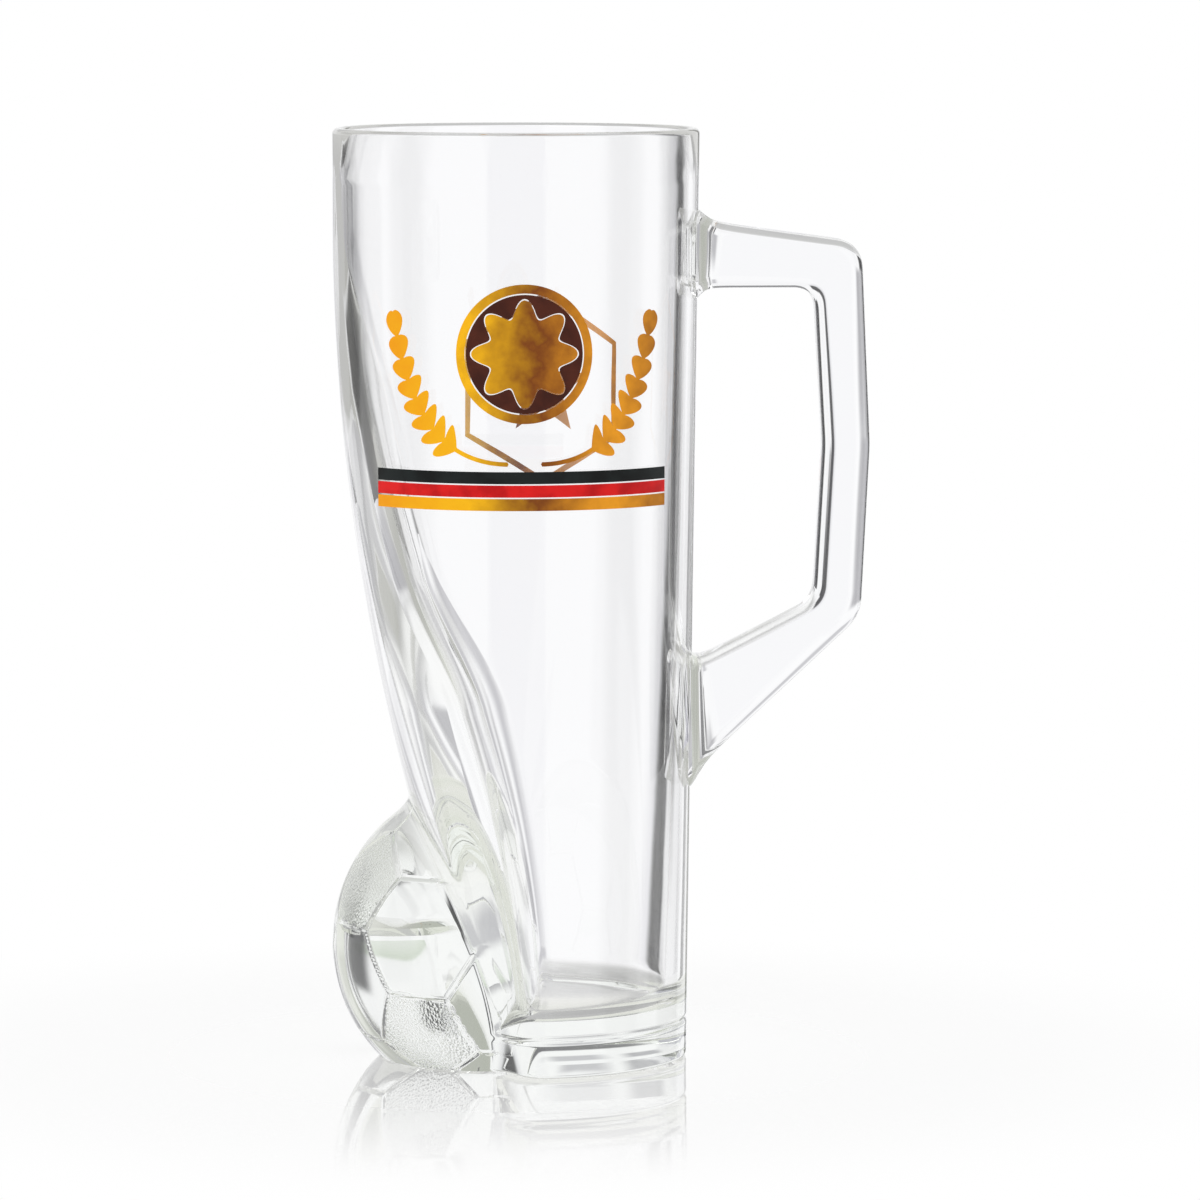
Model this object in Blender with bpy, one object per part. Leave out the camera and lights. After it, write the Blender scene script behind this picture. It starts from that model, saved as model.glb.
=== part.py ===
"""Glass beer mug with a slanted front, a moulded football at its foot and printed trim.

Metres, +Z up. The handle points along +X, the football along -X, the main print along -Y.
The origin is on the axis of the round wall, at the level of the surface the mug stands on.
"""
import math

import bpy
from mathutils import Euler, Vector

# Vessel
MUG_HEIGHT = 0.212
RIM_RADIUS = 0.0417
WALL_TAPER = 0.0029
FOOT_RADIUS = RIM_RADIUS - WALL_TAPER
RIM_WALL = 0.0026
FOOT_WALL = 0.0051
FLOOR_THICKNESS = 0.012
FLOOR_FILLET = 0.006
FRONT_FILLET_SHARE = 0.3
FOOT_HEIGHT = 0.008
FOOT_GROOVE = 0.0005
FOOT_CHAMFER = 0.0006

# Slanted front: it leaves the rim upright, bends, then runs straight down to the foot
FRONT_DROP = 0.022
FRONT_BEND_RADIUS = 0.500
FRONT_SLOPE = 0.25
FRONT_CROWN = 0.0012
FRONT_BULGE = 0.0098
BULGE_HEIGHT = 0.125
CORNER_SIZE = 0.004

# Inside of the slanted front: a bulged wall that thickens downwards, with a shoulder along its edges
FRONT_WALL_RIM = 0.0028
FRONT_WALL_FOOT = 0.0119
CAVITY_EDGE_RIM = 0.0395
CAVITY_EDGE_TRAVEL = 0.031
CAVITY_CORNER = 0.0075
SHOULDER_STEP = 0.0068
SHOULDER_HEIGHT = 0.0968
SHOULDER_RUN = 0.030

# Handle
HANDLE_REACH = 0.0388
HANDLE_BAR = 0.0107
HANDLE_WIDTH = 0.013
HANDLE_ROUND = 0.0034
HANDLE_DROP = 0.0207
UPPER_ROOT = 0.0156
UPPER_FALL = 0.0053
BAR_BOW = 0.0020
GRIP_LENGTH = 0.0715
LOWER_ELBOW = 0.0035
LOWER_RISE_INSIDE = 0.50
LOWER_RISE_OUTSIDE = 0.93
TOP_CORNER = 0.0074
ELBOW_CORNER = 0.0106
BAR_CURVE = 0.042
OPENING_TOP_CORNER = 0.0053
OPENING_LOW_CORNER = 0.0074

# Football
BALL_INSET = 0.0015
BALL_RADIUS = FOOT_RADIUS - BALL_INSET
BALL_OVERHANG = 0.0006
BALL_SINK = 0.0113
SEAM_WIDTH = 0.0018
SEAM_DEPTH = 0.0006
BALL_TILT = 35.0
BALL_SPIN = 4.4

# Printed trim, laid out on the round wall
PRINT_THICKNESS = 0.0003
PRINT_LEVEL = 0.049
ROUNDEL_RADIUS = 0.0155
ROUNDEL_RING = 0.0020
ROSETTE_MARGIN = 0.0012
ROSETTE_WAVE = 0.0019
ROSETTE_PETALS = 8
EAR_SPACE = 0.0165
EAR_TIP_RISE = 0.009
EAR_FOOT_SPACE = 0.009
EAR_FOOT_SPREAD = 0.0036
EAR_STALK = 0.0005
EAR_HALF_WIDTH = 0.0042
EAR_KERNELS = 8
BAND_HEIGHT = 0.0027
BAND_HALF_LENGTH = 0.037
BAND_SPACE = 0.0012
BACK_LEVEL = 0.062
BACK_RADIUS = 0.0225
BACK_LINE = 0.0014
STAR_SPACE = 0.0063
BACK_TURN = 0.21

# Clearances
GAP = 0.0003

MIN_EDGE_ANGLE = math.radians(8.0)
ARC_POINTS = 49
FRONT_POINTS = 17
CORNER_POINTS = 3
KERNEL_STEPS = 6


def smooth_step(value):
    t = min(1.0, max(0.0, value))
    return t * t * (3.0 - 2.0 * t)


def make_material(name, colour, roughness, metallic=0.0, transmission=0.0):
    material = bpy.data.materials.new(name)
    material.use_nodes = True
    shader = material.node_tree.nodes["Principled BSDF"]
    shader.inputs["Base Color"].default_value = (*colour, 1.0)
    shader.inputs["Roughness"].default_value = roughness
    shader.inputs["Metallic"].default_value = metallic
    shader.inputs["Transmission Weight"].default_value = transmission
    shader.inputs["IOR"].default_value = 1.52
    material.diffuse_color = (*colour, 1.0)
    return material


def make_object(name, verts, faces, material, smooth=True):
    mesh = bpy.data.meshes.new(name)
    mesh.from_pydata([tuple(v) for v in verts], [], faces)
    mesh.update()
    if smooth:
        for polygon in mesh.polygons:
            polygon.use_smooth = True
    piece = bpy.data.objects.new(name, mesh)
    if material:
        mesh.materials.append(material)
    bpy.context.scene.collection.objects.link(piece)
    return piece


def hide_cutter(cutter):
    cutter.hide_render = True
    cutter.display_type = "WIRE"


def cut(piece, cutter, name):
    modifier = piece.modifiers.new(name, "BOOLEAN")
    modifier.operation = "DIFFERENCE"
    modifier.solver = "EXACT"
    modifier.object = cutter


def wall_radius(z):
    return FOOT_RADIUS + (RIM_RADIUS - FOOT_RADIUS) * z / MUG_HEIGHT


def inner_radius(z):
    depth = (MUG_HEIGHT - z) / MUG_HEIGHT
    return wall_radius(z) - RIM_WALL - (FOOT_WALL - RIM_WALL) * depth * depth


def front_x(z):
    """Middle of the slanted front at height z."""
    drop = max(0.0, MUG_HEIGHT - FRONT_DROP - z)
    bend_drop = FRONT_SLOPE * FRONT_BEND_RADIUS
    curved = min(drop, bend_drop)
    straight = max(0.0, drop - bend_drop)
    return -RIM_RADIUS + curved * curved / (2.0 * FRONT_BEND_RADIUS) + FRONT_SLOPE * straight


def front_edge_x(z):
    """Corner line where the slanted front meets the round wall."""
    depth = max(0.0, BULGE_HEIGHT - z) / BULGE_HEIGHT
    return front_x(z) + FRONT_CROWN + FRONT_BULGE * depth ** 1.3


def cavity_edge_x(z):
    """Edge line of the cavity, where its round wall meets its front, with a shoulder on the way down."""
    travel = CAVITY_EDGE_TRAVEL * smooth_step((MUG_HEIGHT - z) / (MUG_HEIGHT - FLOOR_THICKNESS))
    step = SHOULDER_STEP * smooth_step(0.5 + (SHOULDER_HEIGHT - z) / SHOULDER_RUN)
    return travel + step - CAVITY_EDGE_RIM


def cavity_front_x(z):
    """Middle of the cavity's front: the slanted front and a wall that thickens downwards."""
    share = ((MUG_HEIGHT - z) / MUG_HEIGHT) ** 1.7
    return front_x(z) + FRONT_WALL_RIM + (FRONT_WALL_FOOT - FRONT_WALL_RIM) * share


def ring(z, radius, front, edge, corner):
    """Level outline: a round wall, two rounded corners and a gently bulged front."""
    edge = max(edge, -radius * math.cos(MIN_EDGE_ANGLE))
    half = math.sqrt(radius * radius - edge * edge)
    bulge = max(0.0, edge - front)
    size = min(corner, 0.4 * half)
    start = math.pi - math.atan2(half, -edge) - size / radius
    points = []
    for i in range(ARC_POINTS):
        angle = start * (2.0 * i / (ARC_POINTS - 1) - 1.0)
        points.append((radius * math.cos(angle), radius * math.sin(angle)))
    side = half - size
    lead = (edge - bulge * (1.0 - (side / half) ** 2), side)
    tail = points[-1]
    bend = []
    for i in range(1, CORNER_POINTS + 1):
        t = i / (CORNER_POINTS + 1)
        a, b, c = (1.0 - t) ** 2, 2.0 * t * (1.0 - t), t * t
        bend.append((a * tail[0] + b * edge + c * lead[0], a * tail[1] + b * half + c * lead[1]))
    points.extend(bend)
    for i in range(FRONT_POINTS):
        y = side * (1.0 - 2.0 * i / (FRONT_POINTS - 1))
        points.append((edge - bulge * (1.0 - (y / half) ** 2), y))
    points.extend((x, -y) for x, y in reversed(bend))
    return [Vector((x, y, z)) for x, y in points]


def round_ring(z, radius):
    return ring(z, radius, -radius, -radius, CORNER_SIZE)


def outer_ring(z, grow=0.0):
    return ring(z, wall_radius(z) + grow, front_x(z) - grow, front_edge_x(z) - grow, CORNER_SIZE)


def inner_ring(z, shrink=0.0):
    front = max(cavity_front_x(z), -inner_radius(z)) + FRONT_FILLET_SHARE * shrink
    return ring(z, inner_radius(z) - shrink, front, cavity_edge_x(z), CAVITY_CORNER)


def loft(rings):
    verts = [point for level in rings for point in level]
    count = len(rings[0])
    faces = [tuple(reversed(range(count)))]
    for k in range(len(rings) - 1):
        low, high = k * count, (k + 1) * count
        for i in range(count):
            j = (i + 1) % count
            faces.append((low + i, low + j, high + j, high + i))
    top = (len(rings) - 1) * count
    faces.append(tuple(range(top, top + count)))
    return verts, faces


def spread(low, high, count):
    return [low + (high - low) * i / (count - 1) for i in range(count)]


def build_vessel(material):
    rings = [outer_ring(0.0, -FOOT_CHAMFER), outer_ring(FOOT_CHAMFER)]
    rings.append(outer_ring(FOOT_HEIGHT))
    rings.append(outer_ring(FOOT_HEIGHT + FOOT_GROOVE, -FOOT_GROOVE))
    rings.append(outer_ring(FOOT_HEIGHT + 3.0 * FOOT_GROOVE, -FOOT_GROOVE))
    body_top = MUG_HEIGHT - 0.5 * FRONT_DROP
    rings.extend(outer_ring(z) for z in spread(FOOT_HEIGHT + 4.0 * FOOT_GROOVE, body_top, 16))
    lip = 0.5 * RIM_WALL
    lip_level = MUG_HEIGHT - lip
    middle = RIM_RADIUS - lip
    for i in range(7):
        angle = math.pi * i / 6.0
        rings.append(round_ring(lip_level + lip * math.sin(angle), middle + lip * math.cos(angle)))
    cavity_foot = FLOOR_THICKNESS + FLOOR_FILLET
    shoulder_high = SHOULDER_HEIGHT + 0.5 * SHOULDER_RUN
    shoulder_low = SHOULDER_HEIGHT - 0.5 * SHOULDER_RUN
    levels = spread(body_top, shoulder_high, 8) + spread(shoulder_high, shoulder_low, 5)[1:]
    levels += spread(shoulder_low, cavity_foot, 6)[1:]
    rings.extend(inner_ring(z) for z in levels)
    for i in range(1, 5):
        angle = 0.5 * math.pi * i / 4.0
        level = cavity_foot - FLOOR_FILLET * math.sin(angle)
        rings.append(inner_ring(level, FLOOR_FILLET * (1.0 - math.cos(angle))))
    verts, faces = loft(rings)
    return make_object("vessel", verts, faces, material)


def build_clearance():
    """Outside of the vessel grown by the gap, to cut the pieces that meet it."""
    reach = MUG_HEIGHT / 20.0
    rings = [outer_ring(z, GAP) for z in spread(-reach, MUG_HEIGHT + reach, 24)]
    verts, faces = loft(rings)
    cutter = make_object("vessel_clearance", verts, faces, None)
    hide_cutter(cutter)
    return cutter


def rounded_outline(corners, steps=6):
    """Closed outline with each corner (x, z, radius) replaced by an arc."""
    outline = []
    count = len(corners)
    for i in range(count):
        here = Vector(corners[i][:2])
        to_last = Vector(corners[i - 1][:2]) - here
        to_next = Vector(corners[(i + 1) % count][:2]) - here
        radius = corners[i][2]
        opening = to_last.angle(to_next)
        if radius <= 0.0 or opening > math.pi - 1e-4:
            outline.append(here)
            continue
        reach = radius / math.tan(0.5 * opening)
        reach = min(reach, 0.45 * to_last.length, 0.45 * to_next.length)
        first = here + to_last.normalized() * reach
        last = here + to_next.normalized() * reach
        for k in range(steps + 1):
            t = k / steps
            outline.append(first * (1 - t) ** 2 + here * (2 * t * (1 - t)) + last * (t * t))
    return outline


def inset_outline(outline, distance):
    """Move each point of a counter-clockwise outline into the material."""
    moved = []
    count = len(outline)
    for i in range(count):
        before = (outline[i] - outline[i - 1]).normalized()
        after = (outline[(i + 1) % count] - outline[i]).normalized()
        normal = Vector((-before.y - after.y, before.x + after.x))
        normal = normal * (2.0 / normal.length_squared)
        moved.append(outline[i] + normal * distance)
    return moved


def build_handle(material, clearance):
    outside = RIM_RADIUS + HANDLE_REACH
    inside = outside - HANDLE_BAR
    root = 0.7 * FOOT_RADIUS
    top = MUG_HEIGHT - HANDLE_DROP
    ceiling = top - UPPER_ROOT
    floor = ceiling - GRIP_LENGTH
    middle = 0.5 * (ceiling + floor)
    elbow = floor - LOWER_ELBOW
    low_inside = floor - LOWER_RISE_INSIDE * (inside - BAR_BOW - root)
    low_outside = elbow - LOWER_RISE_OUTSIDE * (outside - BAR_BOW - root)
    corners = [
        (root, low_outside, 0.0),
        (outside - BAR_BOW, elbow, ELBOW_CORNER),
        (outside, middle, BAR_CURVE),
        (outside - BAR_BOW, top - UPPER_FALL, TOP_CORNER),
        (root, top, 0.0),
        (root, ceiling, 0.0),
        (inside - BAR_BOW, ceiling, OPENING_TOP_CORNER),
        (inside, middle, BAR_CURVE),
        (inside - BAR_BOW, floor, OPENING_LOW_CORNER),
        (root, low_inside, 0.0),
    ]
    outline = rounded_outline(corners)
    levels = []
    steps = 4
    for i in range(steps + 1):
        angle = 0.5 * math.pi * i / steps
        level = 0.5 * HANDLE_WIDTH - HANDLE_ROUND * (1.0 - math.sin(angle))
        levels.append((level, HANDLE_ROUND * (1.0 - math.cos(angle))))
    sides = [(-level, inset) for level, inset in reversed(levels)] + levels
    rings = []
    for level, inset in reversed(sides):
        rings.append([Vector((p.x, level, p.y)) for p in inset_outline(outline, inset)])
    verts, faces = loft(rings)
    piece = make_object("handle", verts, faces, material)
    cut(piece, clearance, "seat on the wall")
    return piece


def truncated_icosahedron():
    """Corner directions of the classic football pattern, and its faces as corner lists."""
    golden = (1.0 + math.sqrt(5.0)) / 2.0
    seeds = [(0.0, 1.0, 3.0 * golden), (1.0, 2.0 + golden, 2.0 * golden)]
    seeds.append((golden, 2.0, 2.0 * golden + 1.0))
    corners = []
    for seed in seeds:
        for signs in range(8):
            point = [c if signs >> k & 1 else -c for k, c in enumerate(seed)]
            for turn in range(3):
                corner = Vector(point[turn:] + point[:turn])
                if all((corner - other).length > 1e-6 for other in corners):
                    corners.append(corner)
    near = [[j for j, q in enumerate(corners) if 0.1 < (p - q).length < 2.1] for p in corners]
    faces = []
    seen = set()
    for i in range(len(corners)):
        for j in near[i]:
            for k in near[j]:
                if k == i:
                    continue
                normal = (corners[j] - corners[i]).cross(corners[k] - corners[j]).normalized()
                level = normal.dot(corners[i])
                face = [n for n, p in enumerate(corners) if abs(normal.dot(p) - level) < 1e-4]
                if level < 0.0 or len(face) not in (5, 6) or tuple(face) in seen:
                    continue
                seen.add(tuple(face))
                faces.append(order_face(face, corners, normal))
    return corners, faces


def order_face(face, corners, normal):
    centre = sum((corners[n] for n in face), Vector()) / len(face)
    across = (corners[face[0]] - centre).normalized()
    along = normal.cross(across)

    def bearing(n):
        offset = corners[n] - centre
        return math.atan2(offset.dot(along), offset.dot(across))

    return sorted(face, key=bearing)


def build_football(material, clearance):
    corners, faces = truncated_icosahedron()
    turn = Euler((math.radians(BALL_TILT), 0.0, math.radians(BALL_SPIN))).to_matrix()
    reach = RIM_RADIUS + BALL_OVERHANG
    centre = Vector((BALL_RADIUS - reach, 0.0, BALL_RADIUS - BALL_SINK))
    verts = []
    polygons = []
    lookup = {}

    def vertex(direction, radius):
        key = tuple(round(c * 1e4) for c in direction)
        if key not in lookup:
            lookup[key] = len(verts)
            verts.append(centre + (turn @ direction).normalized() * radius)
        return lookup[key]

    parts = 3
    for face in faces:
        hub = sum((corners[n] for n in face), Vector()) / len(face)
        apothem = ((corners[face[0]] + corners[face[1]]) / 2.0 - hub).length
        seam = 0.5 * SEAM_WIDTH / (BALL_RADIUS * apothem / corners[0].length)
        border = []
        for k in range(len(face)):
            a, b = corners[face[k]], corners[face[(k + 1) % len(face)]]
            border.extend(a + (b - a) * (i / parts) for i in range(parts))
        loops = []
        for share, drop in ((1.0, SEAM_DEPTH), (1.0 - seam, 0.0), (0.6, 0.0), (0.3, 0.0)):
            loops.append([vertex(hub + (p - hub) * share, BALL_RADIUS - drop) for p in border])
        middle = vertex(hub, BALL_RADIUS)
        count = len(border)
        for i in range(count):
            j = (i + 1) % count
            for outer, inner in zip(loops, loops[1:]):
                polygons.append((outer[i], outer[j], inner[j], inner[i]))
            polygons.append((loops[-1][i], loops[-1][j], middle))
    piece = make_object("football", verts, polygons, material)
    depth = 2.0 * BALL_RADIUS
    square = ((-depth, -depth), (depth, -depth), (depth, depth), (-depth, depth))
    box = [Vector((centre.x + x, y, z)) for z in (-depth, 0.0) for x, y in square]
    box_faces = [(3, 2, 1, 0), (4, 5, 6, 7), (0, 1, 5, 4), (1, 2, 6, 5), (2, 3, 7, 6), (3, 0, 4, 7)]
    ground = make_object("ground_cutter", box, box_faces, None, smooth=False)
    hide_cutter(ground)
    cut(piece, ground, "flat underside")
    cut(piece, clearance, "seat on the front")
    return piece


def film(name, points, faces, material, bearing):
    """Thin solid on the round wall from a flat layout of (along, up) points."""
    verts = []
    for lift in (GAP, GAP + PRINT_THICKNESS):
        for along, z in points:
            angle = bearing + along / wall_radius(z)
            radius = wall_radius(z) + lift
            verts.append((radius * math.cos(angle), radius * math.sin(angle), z))
    count = len(points)
    used = {}
    for face in faces:
        for i, a in enumerate(face):
            used[(a, face[(i + 1) % len(face)])] = True
    solid = [tuple(n + count for n in face) for face in faces]
    solid += [tuple(reversed(face)) for face in faces]
    for a, b in used:
        if (b, a) not in used:
            solid.append((a, b, b + count, a + count))
    return make_object(name, verts, solid, material, smooth=False)


def polar_layout(level, inner, outer, count, steps):
    """Ring between two outlines given by bearing; a full disc if there is no inner one."""
    points = []
    faces = []
    for k in range(steps + 1):
        for i in range(count):
            angle = 2.0 * math.pi * i / count
            low = inner(angle) if inner else outer(angle) / (steps + 1)
            reach = low + (outer(angle) - low) * k / steps
            points.append((reach * math.sin(angle), level + reach * math.cos(angle)))
    for k in range(steps):
        for i in range(count):
            j = (i + 1) % count
            faces.append((k * count + i, k * count + j, (k + 1) * count + j, (k + 1) * count + i))
    if not inner:
        points.append((0.0, level))
        faces.extend(((i + 1) % count, i, steps * count + count) for i in range(count))
    return points, faces


def strip_layout(lines):
    count = len(lines[0])
    points = [p for line in lines for p in line]
    faces = []
    for k in range(len(lines) - 1):
        for i in range(count - 1):
            a, b = k * count + i, (k + 1) * count + i
            faces.append((a, a + 1, b + 1, b))
    return points, faces


def rosette(angle):
    tip = ROUNDEL_RADIUS - ROUNDEL_RING - GAP - ROSETTE_MARGIN
    return tip - ROSETTE_WAVE * (1.0 - math.cos(ROSETTE_PETALS * angle))


def polygon_reach(sides, radius):
    """Distance from the middle to a straight-sided outline, by bearing."""
    part = 2.0 * math.pi / sides

    def reach(angle):
        offset = (angle + 1e-9) % part - 0.5 * part
        return radius * math.cos(0.5 * part) / math.cos(offset)

    return reach


def star_reach(angle):
    part = 2.0 * math.pi / 5.0
    bearing = abs((angle + 0.5 * part) % part - 0.5 * part)
    tip = BACK_RADIUS * math.cos(math.pi / 6.0) - BACK_LINE - STAR_SPACE
    notch = 0.42 * tip
    edge = Vector((notch * math.cos(0.5 * part) - tip, notch * math.sin(0.5 * part)))
    return tip * edge.y / (math.cos(bearing) * edge.y - math.sin(bearing) * edge.x)


def ear_layout(side, level):
    """Ear of barley: a bent stalk that swells into pointed kernels."""
    spread_out = ROUNDEL_RADIUS + EAR_SPACE
    base = level - ROUNDEL_RADIUS - EAR_FOOT_SPACE
    foot = Vector((side * EAR_FOOT_SPREAD, base))
    knee = Vector((side * 0.80 * spread_out, base))
    tip = Vector((side * spread_out, level + EAR_TIP_RISE))
    stalk = 0.3
    steps = KERNEL_STEPS * EAR_KERNELS

    def spine(t):
        return foot * (1 - t) ** 2 + knee * (2 * t * (1 - t)) + tip * (t * t)

    lines = [[], [], []]
    for i in range(-KERNEL_STEPS, steps + 1):
        along = stalk * (i + KERNEL_STEPS) / KERNEL_STEPS
        if i > 0:
            along = stalk + (1.0 - stalk) * i / steps
        phase = (i / KERNEL_STEPS) % 1.0
        taper = 1.0 - 0.55 * (i / steps) ** 2
        swell = taper * math.sin(math.pi * phase) ** 0.7 if 0 < i < steps else 0.0
        half = EAR_STALK + (EAR_HALF_WIDTH - EAR_STALK) * swell
        step = 1e-3
        heading = (spine(min(1.0, along + step)) - spine(along - step)).normalized()
        normal = Vector((-heading.y, heading.x))
        here = spine(along)
        lean = heading * (0.5 * half)
        lines[0].append(tuple(here + lean - normal * half))
        lines[1].append(tuple(here))
        lines[2].append(tuple(here + lean + normal * half))
    return strip_layout(lines)


def band_layout(low):
    count = 25
    lines = [[(u, z) for u in spread(-BAND_HALF_LENGTH, BAND_HALF_LENGTH, count)]
             for z in (low, low + BAND_HEIGHT)]
    return strip_layout(lines)


def build_prints(gold, brown, black, red):
    front = -0.5 * math.pi
    back = 0.5 * math.pi - BACK_TURN
    level = MUG_HEIGHT - PRINT_LEVEL
    circle = ROUNDEL_RADIUS
    layout = polar_layout(level, lambda a: circle - ROUNDEL_RING, lambda a: circle, 48, 1)
    film("roundel_ring", *layout, gold, front)
    field = circle - ROUNDEL_RING - GAP
    layout = polar_layout(level, lambda a: rosette(a) + GAP, lambda a: field, 64, 1)
    film("roundel_field", *layout, brown, front)
    film("roundel_rosette", *polar_layout(level, None, rosette, 64, 2), gold, front)
    film("barley_ear_left", *ear_layout(-1.0, level), gold, front)
    film("barley_ear_right", *ear_layout(1.0, level), gold, front)
    top_band = level - ROUNDEL_RADIUS - EAR_FOOT_SPACE - EAR_STALK - BAND_SPACE - BAND_HEIGHT
    pitch = BAND_HEIGHT + GAP
    film("black_band", *band_layout(top_band), black, front)
    film("red_band", *band_layout(top_band - pitch), red, front)
    film("gold_band", *band_layout(top_band - 2.0 * pitch), gold, front)
    outline = polygon_reach(6, BACK_RADIUS)
    level = MUG_HEIGHT - BACK_LEVEL
    layout = polar_layout(level, lambda a: outline(a) - BACK_LINE, outline, 48, 1)
    film("back_hexagon", *layout, gold, back)
    film("back_star", *polar_layout(level, None, star_reach, 40, 2), gold, back)


def main():
    for old in list(bpy.data.objects):
        bpy.data.objects.remove(old, do_unlink=True)
    glass = make_material("clear glass", (0.93, 0.96, 0.95), 0.02, transmission=1.0)
    handle_glass = make_material("handle glass", (0.91, 0.95, 0.93), 0.03, transmission=1.0)
    ball_glass = make_material("football glass", (0.90, 0.94, 0.92), 0.12, transmission=1.0)
    gold = make_material("gold print", (0.85, 0.46, 0.06), 0.28, metallic=0.85)
    brown = make_material("brown print", (0.075, 0.016, 0.008), 0.35)
    black = make_material("black print", (0.012, 0.014, 0.015), 0.35)
    red = make_material("red print", (0.72, 0.020, 0.018), 0.35)
    build_vessel(glass)
    clearance = build_clearance()
    build_handle(handle_glass, clearance)
    build_football(ball_glass, clearance)
    build_prints(gold, brown, black, red)


main()
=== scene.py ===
"""Looks of the glass beer mug: fused clear glass, a moulded football and fired-on print.

Metres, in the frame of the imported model: +Z up, handle along +X, football along -X, main print along -Y.
"""
import math

import bpy
import numpy as np
from mathutils import Euler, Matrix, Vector


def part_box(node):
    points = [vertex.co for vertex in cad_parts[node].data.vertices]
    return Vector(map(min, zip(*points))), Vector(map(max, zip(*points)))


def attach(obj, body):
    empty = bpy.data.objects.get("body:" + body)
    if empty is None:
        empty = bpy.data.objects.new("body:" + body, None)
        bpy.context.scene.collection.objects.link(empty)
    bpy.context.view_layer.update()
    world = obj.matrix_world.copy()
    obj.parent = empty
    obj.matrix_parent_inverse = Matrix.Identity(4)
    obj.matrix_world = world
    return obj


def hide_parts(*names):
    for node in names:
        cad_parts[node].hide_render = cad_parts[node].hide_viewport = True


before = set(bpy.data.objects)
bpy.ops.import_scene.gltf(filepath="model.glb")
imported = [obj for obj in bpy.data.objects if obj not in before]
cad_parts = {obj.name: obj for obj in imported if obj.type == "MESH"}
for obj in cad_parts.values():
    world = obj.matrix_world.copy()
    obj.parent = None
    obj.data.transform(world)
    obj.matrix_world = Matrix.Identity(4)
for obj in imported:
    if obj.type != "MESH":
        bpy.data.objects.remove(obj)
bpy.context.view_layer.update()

# Vessel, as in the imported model
MUG_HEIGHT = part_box("vessel")[1].z
RIM_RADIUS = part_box("vessel")[1].x
WALL_TAPER = 0.0029
FOOT_RADIUS = RIM_RADIUS - WALL_TAPER
RIM_WALL = 0.0026
FOOT_WALL = 0.0051
FLOOR_THICKNESS = 0.012
FLOOR_FILLET = 0.006
FRONT_FILLET_SHARE = 0.3
FOOT_ROUND = 0.0008
GROOVE_LEVEL = 0.0087
GROOVE_DEPTH = 0.0005
GROOVE_HALF = 0.0011

# Slanted front and the inside of it
FRONT_DROP = 0.022
FRONT_BEND_RADIUS = 0.500
FRONT_SLOPE = 0.25
FRONT_CROWN = 0.0012
FRONT_BULGE = 0.0098
BULGE_HEIGHT = 0.125
BULGE_POWER = 1.3
CORNER_SIZE = 0.004
CORNER_SHARE = 0.4
CAVITY_EDGE_RIM = 0.0395
CAVITY_EDGE_TRAVEL = 0.031
CAVITY_CORNER = 0.0075
FRONT_WALL_RIM = 0.0028
FRONT_WALL_FOOT = 0.0119
FRONT_WALL_POWER = 1.7
SHOULDER_STEP = 0.0068
SHOULDER_HEIGHT = 0.0968
SHOULDER_RUN = 0.03

# Football
BALL_INSET = 0.0015
BALL_SINK = 0.0113
BALL_RADIUS = FOOT_RADIUS - BALL_INSET
BALL_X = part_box("football")[0].x + BALL_RADIUS
BALL_Z = BALL_RADIUS - BALL_SINK
SEAM_HALF = 0.0006
SEAM_DEPTH = 0.0005
BALL_TILT = 35.0
BALL_SPIN = 4.4
BALL_TURN = Euler((math.radians(BALL_TILT), 0.0, math.radians(BALL_SPIN)))
WEB = 0.0045
STIPPLE_CLEARANCE = 0.5 * WEB

# Handle
HANDLE_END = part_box("handle")[1].x
HANDLE_BAR = 0.0107
HANDLE_WIDTH = 0.013
HANDLE_ROUND = 0.0034
HANDLE_DROP = 0.0207
UPPER_ROOT = 0.0156
GRIP_LENGTH = 0.0715
HANDLE_TOP = MUG_HEIGHT - HANDLE_DROP
OPENING_TOP = HANDLE_TOP - UPPER_ROOT
OPENING_FOOT = OPENING_TOP - GRIP_LENGTH
UPPER_FALL = 0.0053
BAR_BOW = 0.0020
LOWER_ELBOW = 0.0035
LOWER_RISE_INSIDE = 0.50
LOWER_RISE_OUTSIDE = 0.93
TOP_CORNER = 0.0074
ELBOW_CORNER = 0.0106
BAR_CURVE = 0.042
OPENING_TOP_CORNER = 0.0053
OPENING_LOW_CORNER = 0.0074
ROOT_SINK = 0.0014
ROOT_FLARE = 0.0024
ROOT_FLARE_LENGTH = 0.0016

# Fineness and limits of the glass mesh
MIN_EDGE_ANGLE = math.radians(8.0)
ARC_POINTS = 121
CORNER_POINTS = 7
FRONT_POINTS = 361
FINE_STEP = 0.0003
COARSE_STEP = 0.0015
RUN_POINTS = 25
BEND_POINTS = 13
SECTION_CORNER_POINTS = 9
LIP_POINTS = 13
FILLET_POINTS = 9
BEND_SHARE = 0.45
GLASS_SHARP_ANGLE = 32.0


def smooth_step(value):
    t = np.clip(value, 0.0, 1.0)
    return t * t * (3.0 - 2.0 * t)


def link(name, verts, faces, materials, smooth_angle=None):
    mesh = bpy.data.meshes.new(name)
    mesh.from_pydata([tuple(v) for v in verts], [], [tuple(f) for f in faces])
    for material in materials:
        mesh.materials.append(material)
    mesh.update()
    if smooth_angle:
        mesh.shade_smooth()
        mesh.set_sharp_from_angle(angle=math.radians(smooth_angle))
    piece = bpy.data.objects.new(name, mesh)
    bpy.context.scene.collection.objects.link(piece)
    return piece


# Node helpers, with the places of the colour sockets on a Mix node
MIX_FACTOR = 0
MIX_COLOUR_A = 6
MIX_COLOUR_B = 7
MIX_COLOUR_RESULT = 2


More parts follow.
